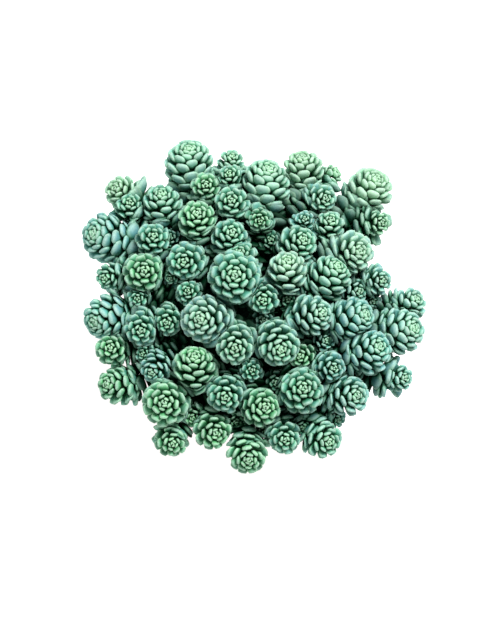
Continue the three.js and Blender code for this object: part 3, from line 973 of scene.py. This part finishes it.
def crease_shade_colour(make, settings, powder_and_highlight, age, painted_light):
    """Painted green light and painted shade where leaves close in on each other, softer on heads given more
    painted light.
    """
    covered = make.add(
        "AmbientOcclusion", {"samples": CREASE_SHADE_SAMPLES, "only_local": True}, Distance=CREASE_SHADE_REACH
    ).outputs["AO"]
    covered = make.math("SUBTRACT", covered, make.span(age, 0.6, 1.1, 0, 0.18))
    softened = make.span(painted_light, 0.7, 1.8, 1, 0.55)
    glow = make.times(make.span(covered, 0.9, 0.4, 0, 0.8), softened)
    glowing = make.mix(glow, powder_and_highlight, settings.shade_green, "MULTIPLY")
    crease_shade = make.times(make.span(covered, 0.64, 0.1, 0, 0.98), softened)
    return make.mix(crease_shade, glowing, settings.deep)


def leaf_material(settings):
    """Fleshy leaf: tone and painted light by head, youth and age, painted shade at the foot, in creases and
    deep in the plant, powder and painted highlight at edge and tip.
    """
    make = Nodes("stonecrop_leaf")
    age = make.attribute("leaf_age")
    along = make.attribute("leaf_along")
    chance = make.attribute("leaf_chance")
    painted_light = make.attribute("head_painted_light")
    mottle = make.noise(scale=420, detail=4)
    powder = make.noise(scale=1500, detail=5, roughness=0.65)
    flesh = flesh_colour(make, settings, age, chance, painted_light, mottle)
    foot_and_shade = foot_and_shade_colour(make, settings, flesh, along, mottle)
    powder_and_highlight = powder_and_highlight_colour(make, settings, foot_and_shade, along, age, powder)
    crease_shaded = crease_shade_colour(make, settings, powder_and_highlight, age, painted_light)
    # Painted shade deep under the heads, between crowded heads and down a head's own stem
    shaded = make.span(make.attribute("leaf_shade"), 0.0, 1.0, 0.0, 0.95)
    relief = make.math("ADD", make.times(powder, 0.4), mottle)
    return make.finish(
        Base_Color=make.mix(shaded, crease_shaded, settings.deep),
        Roughness=make.span(powder, 0.2, 0.8, 0.5, 0.68),
        Specular_IOR_Level=0.04,
        Normal=make.bump(relief, strength=0.25, distance=0.12 * MM),
    )


# Colours of the stem in its head and below, each from dark to pale, and of its leaf scars
FRESH_STEM = (linear(24, 66, 40), linear(52, 98, 60))
OLD_STEM = (linear(36, 52, 30), linear(72, 80, 50))
LEAF_SCAR = linear(92, 78, 56)


def stem_material():
    """Stem, dark green in its head and browner below, with paler old leaf scars."""
    make = Nodes("stonecrop_stem")
    fibres = make.noise(scale=700, detail=4, stretch=(1, 1, 0.35))
    scars = make.noise(scale=1600, detail=2)
    below = make.attribute("leaf_shade")
    fibrous = make.span(fibres, 0.3, 0.7)
    flesh = make.mix(below, make.mix(fibrous, *FRESH_STEM), make.mix(fibrous, *OLD_STEM))
    scarred = make.times(make.span(scars, 0.55, 0.7, 0, 0.7), below)
    colour = make.mix(scarred, flesh, LEAF_SCAR)
    relief = make.bump(fibres, strength=0.5, distance=0.3 * MM)
    return make.finish(Base_Color=colour, Roughness=0.7, Normal=relief)


class Shoot:
    """A shoot in the making: its mesh, the marks that its leaves carry and what they are made with."""

    def __init__(self, settings, ball, neighbours):
        self.settings = settings
        self.ball = ball
        self.neighbours = neighbours
        self.bm = bmesh.new()
        self.layers = [self.bm.verts.layers.float.new(name) for name in LAYER_NAMES]


def grow_leaves(shoot, head):
    """The leaves of one head and of its stem."""
    rng = random.Random(SEED * SEED_STEP + head.number)
    tone = TINT_TONE[head.tint] + rng.uniform(-TONE_CHANCE, TONE_CHANCE)
    count = add_head(shoot, head, tone, rng)
    add_stem_leaves(shoot, head, count, tone, rng)


class OBJECT_OT_stonecrop_shoots(Operator):
    """Grow every leafy shoot: its stem, its offshoots and the leaves of each head"""

    bl_idname = "object.stonecrop_shoots"
    bl_label = "Leafy Shoots"
    bl_options = {"REGISTER", "UNDO"}

    def execute(self, context):
        settings = context.scene.stonecrop_leaves
        materials = [leaf_material(settings), stem_material()]
        ball = leaf_ball()
        neighbours = Neighbours()
        for head in heads.values():
            if head.number in FORKS:
                continue
            forks = [heads[offshoot] for offshoot, parent in FORKS.items() if parent == head.number]
            shoot = Shoot(settings, ball, neighbours)
            for member in [head, *forks]:
                add_stem(shoot.bm, stem_places(member))
            shade_layer = shoot.layers[LAYER_NAMES.index("leaf_shade")]
            for vert in shoot.bm.verts:
                vert[shade_layer] = under_dome(vert.co)
            for member in [head, *forks]:
                grow_leaves(shoot, member)
            piece = finish_mesh(shoot.bm, f"stonecrop_shoot_{head.number:02d}", materials)
            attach(piece, "root")
            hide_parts(f"leafy_shoot_{head.number:02d}")
        return {"FINISHED"}


# Finish of the pot: angle past which an edge is rounded, in radians, steps of its rounding, sides of a
# drain hole and how near two points are to be one
SHARP_ANGLE = 0.6
EDGE_SEGMENTS = 3
DRAIN_SIDES = 32
MERGE_DISTANCE = 0.001

# Films on the clay, as heights: lime below the first and above the second, and a dark green band, partly damp
# algae and partly painted shade under the leaves, that starts at the third and is full at the fourth, both
# lowered by a wave of up to the last
LIME_FOOT = 16
LIME_RIM = 50
DAMP_SHADE_FROM = 66
DAMP_SHADE_FULL = 74.5
DAMP_SHADE_WAVE = 6
PIT_COLOUR = linear(92, 52, 38)


def inner_radius(z):
    """The pot's hollow tapers with its body."""
    return BASE_RADIUS - WALL + (BODY_RADIUS - BASE_RADIUS) * z / POT_HEIGHT


def spin_profile(bm, profile, steps):
    """A closed body turned from a half section that starts and ends on the axis."""
    verts = [bm.verts.new((radius, 0, z)) for radius, z in profile]
    edges = [bm.edges.new(pair) for pair in zip(verts, verts[1:])]
    bmesh.ops.spin(
        bm, geom=verts + edges, cent=(0, 0, 0), axis=(0, 0, 1), angle=2 * math.pi, steps=steps, use_merge=True
    )
    bmesh.ops.remove_doubles(bm, verts=bm.verts, dist=MERGE_DISTANCE)
    bmesh.ops.recalc_face_normals(bm, faces=bm.faces)
    for face in bm.faces:
        face.smooth = True


def clay_material(settings):
    """Unglazed clay: kiln shades, fine turning marks, pits, a lime film near the rim and foot, and a dark
    band at the top, partly damp algae and partly painted shade.
    """
    make = Nodes("fired_clay")
    place = make.add("TexCoord").outputs["Object"]
    height = make.add("SeparateXYZ", Vector=place).outputs["Z"]
    cloud = make.noise(scale=38, detail=4)
    grain = make.noise(scale=900, detail=5, roughness=0.7)
    turning = make.noise(scale=500, detail=3, stretch=(0.05, 0.05, 1))
    kiln = make.mix(make.span(cloud, 0.3, 0.7), settings.clay_dark, settings.clay)
    speck = make.mix(make.span(grain, 0.62, 0.72, 0, 0.35), kiln, PIT_COLOUR)
    rim = make.span(height, LIME_RIM * MM, POT_HEIGHT * MM)
    foot = make.span(height, LIME_FOOT * MM, 0.0, 0, 0.8)
    wet = make.math("MAXIMUM", rim, foot)
    patch = make.span(make.noise(scale=90, detail=6, roughness=0.7), 0.48, 0.66)
    film = make.times(make.times(wet, patch), 0.55)
    limed = make.mix(film, speck, settings.lime)
    # Painted shade: the dark green band on the rim under the leaves, partly damp algae
    wavy = make.math("ADD", height, make.times(cloud, DAMP_SHADE_WAVE * MM))
    damp_and_shade = make.span(wavy, DAMP_SHADE_FROM * MM, DAMP_SHADE_FULL * MM, 0, 0.94)
    colour = make.mix(damp_and_shade, limed, settings.algae_and_shade)
    marks = make.math("ADD", turning, make.times(grain, 0.5))
    return make.finish(
        Base_Color=colour, Roughness=make.span(grain, 0.3, 0.7, 0.78, 0.95), Specular_IOR_Level=0.25,
        Normal=make.bump(marks, strength=0.35, distance=0.4 * MM),
    )


class OBJECT_OT_stonecrop_pot(Operator):
    """Turn the clay pot, with its rim band and rounded edges, and cut its drain holes"""

    bl_idname = "object.stonecrop_pot"
    bl_label = "Clay Pot"
    bl_options = {"REGISTER", "UNDO"}

    def execute(self, context):
        settings = context.scene.stonecrop_pot
        bm = bmesh.new()
        band_foot = POT_HEIGHT - RIM_BAND
        spin_profile(
            bm,
            [
                (0, 0),
                (BASE_RADIUS, 0),
                (BODY_RADIUS - BAND_TAPER, band_foot),
                (RIM_RADIUS - BAND_TAPER / 2, band_foot),
                (RIM_RADIUS, POT_HEIGHT),
                (inner_radius(POT_HEIGHT), POT_HEIGHT),
                (inner_radius(POT_FLOOR), POT_FLOOR),
                (0, POT_FLOOR),
            ],
            settings.sides,
        )
        sharp = [edge for edge in bm.edges if edge.calc_face_angle(0) > SHARP_ANGLE]
        bmesh.ops.bevel(
            bm, geom=sharp, offset=settings.edge_round / MM, offset_type="OFFSET", segments=EDGE_SEGMENTS,
            profile=0.5, affect="EDGES", material=-1,
        )
        pot = finish_mesh(bm, "clay_pot", [clay_material(settings)])
        for face in pot.data.polygons:
            face.use_smooth = True
        cut_drain_holes(context, pot)
        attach(pot, "root")
        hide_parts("pot")
        return {"FINISHED"}


def cut_drain_holes(context, pot):
    """Cuts the drain holes through the pot's floor."""
    bm = bmesh.new()
    for i in range(DRAIN_COUNT):
        turn = 2 * math.pi * i / DRAIN_COUNT
        place = Vector((math.cos(turn) * DRAIN_DISTANCE, math.sin(turn) * DRAIN_DISTANCE, POT_FLOOR / 2))
        bmesh.ops.create_cone(
            bm, cap_ends=True, segments=DRAIN_SIDES, radius1=DRAIN_RADIUS, radius2=DRAIN_RADIUS,
            depth=POT_FLOOR * 2, matrix=Matrix.Translation(place),
        )
    cutter = finish_mesh(bm, "drain_cutter", [])
    cut = pot.modifiers.new("drain_holes", "BOOLEAN")
    cut.object = cutter
    cut.operation = "DIFFERENCE"
    cut.solver = "EXACT"
    context.view_layer.update()
    evaluated = pot.evaluated_get(context.evaluated_depsgraph_get())
    mesh = bpy.data.meshes.new_from_object(evaluated)
    pot.modifiers.clear()
    pot.data = mesh
    bpy.data.objects.remove(cutter)


# Colours of the soil: its wet hollows, its fibres and its pale grit
WET_EARTH = linear(24, 18, 14)
FIBRE_COLOUR = linear(96, 74, 52)
GRIT_COLOUR = linear(150, 140, 126)


def soil_material(settings):
    """Dark moist soil with fibrous crumbs, and paler grit where the mesh says so."""
    make = Nodes("potting_soil_crumb")
    grain = make.attribute("grain")
    crumbs = make.noise(scale=650, detail=6, roughness=0.7)
    fibre = make.noise(scale=1800, detail=3)
    earth = make.mix(make.span(crumbs, 0.35, 0.65), WET_EARTH, settings.earth)
    flecked = make.mix(make.span(fibre, 0.62, 0.75, 0, 0.5), earth, FIBRE_COLOUR)
    colour = make.mix(grain, flecked, GRIT_COLOUR)
    relief = make.bump(crumbs, strength=0.8, distance=0.8 * MM)
    return make.finish(Base_Color=colour, Roughness=0.95, Specular_IOR_Level=0.2, Normal=relief)


# Soil surface: rings and sides of its top, how far down it still counts as top, how far it heaves, in waves
# of what scale, roughness, spacing and layers, the wave height that counts as level, and the power that
# keeps its edge flat
SOIL_RINGS = 26
SOIL_SIDES = 80
SOIL_DEPTH = 1
SOIL_HEAVE = 0.9
SOIL_WAVES = 0.16
SOIL_FRACTAL = (1, 2, 5)
SOIL_LEVEL = 0.4
SOIL_EDGE = 6

# Grains of grit: how far they keep off the pot's wall, their radius, how far they are sunk, how narrow and
# flat they are, the most that they turn, what share is pale, and the tone of the pale and the dark ones
GRAIN_CLEAR = 1
GRAIN_SIZES = (0.35, 1.0)
GRAIN_SUNK = 0.2
GRAIN_WIDTH = (0.6, 1)
GRAIN_HEIGHT = (0.5, 0.9)
GRAIN_TURN = 6
PALE_SHARE = 0.3
PALE_TONE = 0.8
DARK_TONE = 0.1


class OBJECT_OT_stonecrop_soil(Operator):
    """Fill the pot with soil: an uneven top with grit on it"""

    bl_idname = "object.stonecrop_soil"
    bl_label = "Potting Soil"
    bl_options = {"REGISTER", "UNDO"}

    def execute(self, context):
        settings = context.scene.stonecrop_pot
        low = POT_FLOOR + SEAT_GAP
        reach = inner_radius(SOIL_TOP) - SEAT_GAP
        bm = bmesh.new()
        layer = bm.verts.layers.float.new("grain")
        top = [(reach * (1 - i / SOIL_RINGS), SOIL_TOP) for i in range(SOIL_RINGS + 1)]
        spin_profile(bm, [(0, low), (inner_radius(low) - SEAT_GAP, low)] + top, SOIL_SIDES)
        for vert in bm.verts:
            if vert.co.z > SOIL_TOP - SOIL_DEPTH:
                middle = 1 - (vert.co.xy.length / reach) ** SOIL_EDGE
                wave = noise.fractal(vert.co * SOIL_WAVES, *SOIL_FRACTAL)
                vert.co.z += SOIL_HEAVE * middle * (wave - SOIL_LEVEL)
        rng = random.Random(SEED)
        for _ in range(settings.grit):
            add_grain(bm, layer, reach - GRAIN_CLEAR, rng)
        soil = finish_mesh(bm, "potting_soil_fill", [soil_material(settings)])
        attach(soil, "root")
        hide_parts("potting_soil")
        return {"FINISHED"}


def add_grain(bm, layer, reach, rng):
    """One grain of grit, partly sunk in the soil. Some are pale, most are soil-dark."""
    turn = rng.uniform(0, 2 * math.pi)
    out = reach * math.sqrt(rng.random())
    size = rng.uniform(*GRAIN_SIZES)
    place = Matrix.Translation((math.cos(turn) * out, math.sin(turn) * out, SOIL_TOP - GRAIN_SUNK))
    turned = Matrix.Rotation(rng.uniform(0, GRAIN_TURN), 4, Vector((rng.random(), rng.random(), 1)))
    squash = Matrix.Diagonal((1, rng.uniform(*GRAIN_WIDTH), rng.uniform(*GRAIN_HEIGHT), 1))
    made = bmesh.ops.create_icosphere(bm, subdivisions=1, radius=size, matrix=place @ turned @ squash)
    tone = PALE_TONE if rng.random() < PALE_SHARE else DARK_TONE
    for vert in made["verts"]:
        vert[layer] = tone


# The floor: its faint specks, and how much it shines by itself
FLOOR_SPECK = (0.8, 0.8, 0.8)
FLOOR_GLOW = 0.78


def floor_material(settings):
    """Pale even floor that lifts its own shadows a little."""
    make = Nodes("pale_floor")
    speck = make.noise(scale=30, detail=2)
    colour = make.mix(make.span(speck, 0.3, 0.7, 0, 0.03), settings.floor, FLOOR_SPECK)
    return make.finish(
        Base_Color=colour, Roughness=0.9, Emission_Color=(1, 1, 1), Emission_Strength=FLOOR_GLOW
    )


def add_light(name, place, size, power):
    """A soft square light that looks at the heads."""
    data = bpy.data.lights.new(name, "AREA")
    data.shape = "SQUARE"
    data.size = size
    data.energy = power
    light = bpy.data.objects.new(name, data)
    light.location = place
    target = Vector((0, 0, EYE_HEIGHT * MM))
    light.rotation_euler = (target - light.location).to_track_quat("-Z", "Y").to_euler()
    bpy.context.scene.collection.objects.link(light)


# What the middle of the photograph looks at, to the right and up from the dome's middle
VIEW_RIGHT = -2.2
VIEW_UP = -0.4

# Half the floor's side, and then in metres the place and size of each light and how far the camera sees
FLOOR_REACH = 4000
KEY_LIGHT = ((0.55, 0.75, 1.6), 0.7)
FILL_LIGHT = ((-0.9, -0.6, 1.2), 1.0)
VIEW_DEPTH = 20


class SCENE_OT_stonecrop_stage(Operator):
    """Set the floor, the soft lights and the camera"""

    bl_idname = "scene.stonecrop_stage"
    bl_label = "Stage"
    bl_options = {"REGISTER", "UNDO"}

    def execute(self, context):
        settings = context.scene.stonecrop_stage
        bm = bmesh.new()
        bmesh.ops.create_grid(bm, x_segments=1, y_segments=1, size=FLOOR_REACH)
        floor = finish_mesh(bm, "floor", [floor_material(settings)])
        add_light("key_light", *KEY_LIGHT, settings.key_power)
        add_light("fill_light", *FILL_LIGHT, settings.fill_power)
        world = bpy.data.worlds.new("studio")
        world.use_nodes = True
        background = world.node_tree.nodes["Background"]
        background.inputs["Color"].default_value = (1, 1, 1, 1)
        background.inputs["Strength"].default_value = settings.sky
        context.scene.world = world
        context.scene.view_settings.view_transform = "Standard"
        data = bpy.data.cameras.new("camera")
        data.lens = settings.lens
        data.clip_end = VIEW_DEPTH
        camera = bpy.data.objects.new("camera", data)
        target = (RIGHT * VIEW_RIGHT + EYE_UP * VIEW_UP + UPRIGHT * EYE_HEIGHT) * MM
        camera.location = target + EYE_TOWARD * settings.distance
        camera.rotation_euler = EYE_TOWARD.to_track_quat("Z", "Y").to_euler()
        context.scene.collection.objects.link(camera)
        context.scene.camera = camera
        return {"FINISHED"}


class VIEW3D_PT_stonecrop(Panel):
    """Sizes, colours and steps of the potted stonecrop"""

    bl_label = "Potted Stonecrop"
    bl_idname = "VIEW3D_PT_stonecrop"
    bl_space_type = "VIEW_3D"
    bl_region_type = "UI"
    bl_category = "Stonecrop"

    def draw(self, context):
        scene = context.scene
        for operator, group in (
            (OBJECT_OT_stonecrop_shoots, scene.stonecrop_leaves),
            (OBJECT_OT_stonecrop_pot, scene.stonecrop_pot),
            (OBJECT_OT_stonecrop_soil, None),
            (SCENE_OT_stonecrop_stage, scene.stonecrop_stage),
        ):
            box = self.layout.box()
            box.operator(operator.bl_idname)
            for name in group.__annotations__ if group else ():
                box.prop(group, name)


CLASSES = (
    StonecropLeafSettings,
    StonecropPotSettings,
    StonecropStageSettings,
    OBJECT_OT_stonecrop_shoots,
    OBJECT_OT_stonecrop_pot,
    OBJECT_OT_stonecrop_soil,
    SCENE_OT_stonecrop_stage,
    VIEW3D_PT_stonecrop,
)


def register():
    for item in CLASSES:
        bpy.utils.register_class(item)
    bpy.types.Scene.stonecrop_leaves = PointerProperty(type=StonecropLeafSettings)
    bpy.types.Scene.stonecrop_pot = PointerProperty(type=StonecropPotSettings)
    bpy.types.Scene.stonecrop_stage = PointerProperty(type=StonecropStageSettings)


def unregister():
    del bpy.types.Scene.stonecrop_stage
    del bpy.types.Scene.stonecrop_pot
    del bpy.types.Scene.stonecrop_leaves
    for item in reversed(CLASSES):
        bpy.utils.unregister_class(item)


def main():
    """Builds everything in order."""
    register()
    bpy.ops.scene.stonecrop_stage()
    bpy.ops.object.stonecrop_pot()
    bpy.ops.object.stonecrop_soil()
    bpy.ops.object.stonecrop_shoots()


if __name__ == "__main__":
    main()
